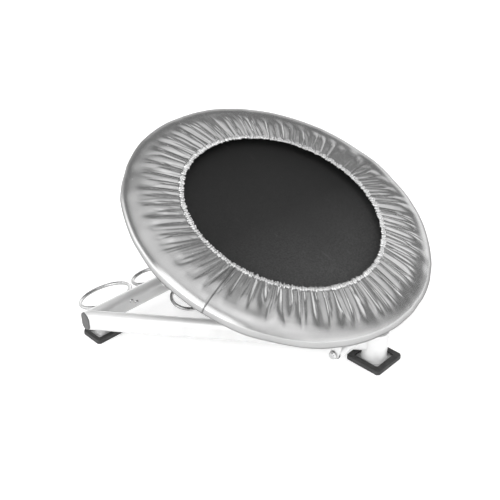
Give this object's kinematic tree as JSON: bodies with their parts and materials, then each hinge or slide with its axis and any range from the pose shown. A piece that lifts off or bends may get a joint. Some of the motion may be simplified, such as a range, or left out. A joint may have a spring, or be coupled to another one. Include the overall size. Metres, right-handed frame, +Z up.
{
  "type": "trampoline",
  "caption": "Round ball-rebound trampoline with a tilted spring bed, padded vinyl cover, triangular tube base, folding rear strut and hoops that hold balls.",
  "frame": {"origin": "on the floor, at the middle of the object's outline seen from above", "axes": "+X towards the low front edge of the bed, +Y to the left side, +Z up"},
  "size_m": [0.968, 1.114, 0.5702],
  "materials": {
    "silver_coat": "satin",
    "ring_coat": "gloss",
    "rubber_foot": "matte",
    "zinc_hardware": "gloss",
    "spring_wire": "satin",
    "bare_steel": "satin",
    "black_plastic": "matte",
    "grey_plastic": "satin",
    "woven_mat": "matte",
    "webbing": "matte",
    "foam": "matte",
    "silver_vinyl": "gloss",
    "elastic": "satin"
  },
  "bodies": {
    "base": {"ball_ring_big_left": "ring_coat", "ball_ring_big_right": "ring_coat", "ball_ring_inner_left": "ring_coat", "ball_ring_inner_right": "ring_coat", "ball_ring_small_left": "ring_coat", "ball_ring_small_right": "ring_coat", "corner_cap_left": "grey_plastic", "corner_cap_right": "grey_plastic", "corner_post_left": "silver_coat", "corner_post_right": "silver_coat", "foot_plate_front": "bare_steel", "foot_plate_rear_left": "bare_steel", "foot_plate_rear_right": "bare_steel", "foot_tray_front": "rubber_foot", "foot_tray_rear_left": "rubber_foot", "foot_tray_rear_right": "rubber_foot", "front_post": "silver_coat", "front_post_cap": "silver_coat", "hinge_bolts": "zinc_hardware", "hinge_cross_tube": "silver_coat", "hinge_end_plugs": "grey_plastic", "hinge_saddle": "silver_coat", "hinge_washers": "zinc_hardware", "inner_ring_brackets": "silver_coat", "rear_bar": "silver_coat", "ring_bolts": "zinc_hardware", "ring_clips": "silver_coat", "ring_nuts": "zinc_hardware", "side_arm_left": "silver_coat", "side_arm_right": "silver_coat", "strut_foot_bolt": "zinc_hardware", "strut_foot_ears": "silver_coat", "strut_foot_nut": "zinc_hardware", "strut_foot_washers": "zinc_hardware"},
    "bed": {"bed_frame_tube": "silver_coat", "hinge_lug_left": "silver_coat", "hinge_lug_right": "silver_coat", "strut_ear_left": "silver_coat", "strut_ear_right": "silver_coat", "springs": "spring_wire", "foam_pad": "foam", "cover_top_panel": "silver_vinyl", "cover_rim_skirt": "silver_vinyl", "hem_elastic": "elastic"},
    "mat": {"jump_mat": "woven_mat", "mat_webbing": "webbing", "mat_v_rings": "spring_wire"},
    "strut_lower": {"strut_outer_tube": "silver_coat", "lock_boss": "silver_coat", "strut_foot_bush": "black_plastic"},
    "strut_upper": {"strut_inner_tube": "silver_coat", "strut_head_bush": "black_plastic", "strut_end_cap": "black_plastic", "strut_head_bolt": "zinc_hardware", "strut_head_nut": "zinc_hardware", "strut_head_washers": "zinc_hardware"},
    "knob": {"lock_knob": "black_plastic", "lock_stud": "zinc_hardware"}
  },
  "joints": [
    {"name": "bed_tilt", "type": "hinge", "parent": "base", "child": "bed", "pos_m": [0.408, 0, 0.129], "axis": [0, 1, 0], "range_deg": [-4, 8]},
    {"name": "strut_swing", "type": "hinge", "parent": "base", "child": "strut_lower", "pos_m": [-0.331, 0, 0.118], "axis": [0, 1, 0], "range_deg": [-4.92, 9.34]},
    {"name": "strut_slide", "type": "slide", "parent": "strut_lower", "child": "strut_upper", "axis": [-0.113, 0, 0.9936], "range_m": [-0.05238, 0.10375]},
    {"name": "knob_turn", "type": "hinge", "parent": "strut_lower", "child": "knob", "pos_m": [-0.35495, 0, 0.32864], "axis": [-0.9936, 0, -0.113], "range_deg": [0, 360]},
    {"name": "mat_bounce", "type": "slide", "parent": "bed", "child": "mat", "axis": [0.3923, 0, 0.9198], "range_m": [-0.045, 0], "stiffness_N_per_m": 6000, "springref_m": 0.003}
  ],
  "couplings": [
    {"joint": "strut_swing", "follows": "bed_tilt", "ratio": 1.105},
    {"joint": "strut_slide", "follows": "bed_tilt", "m_per_rad": 0.7359}
  ]
}
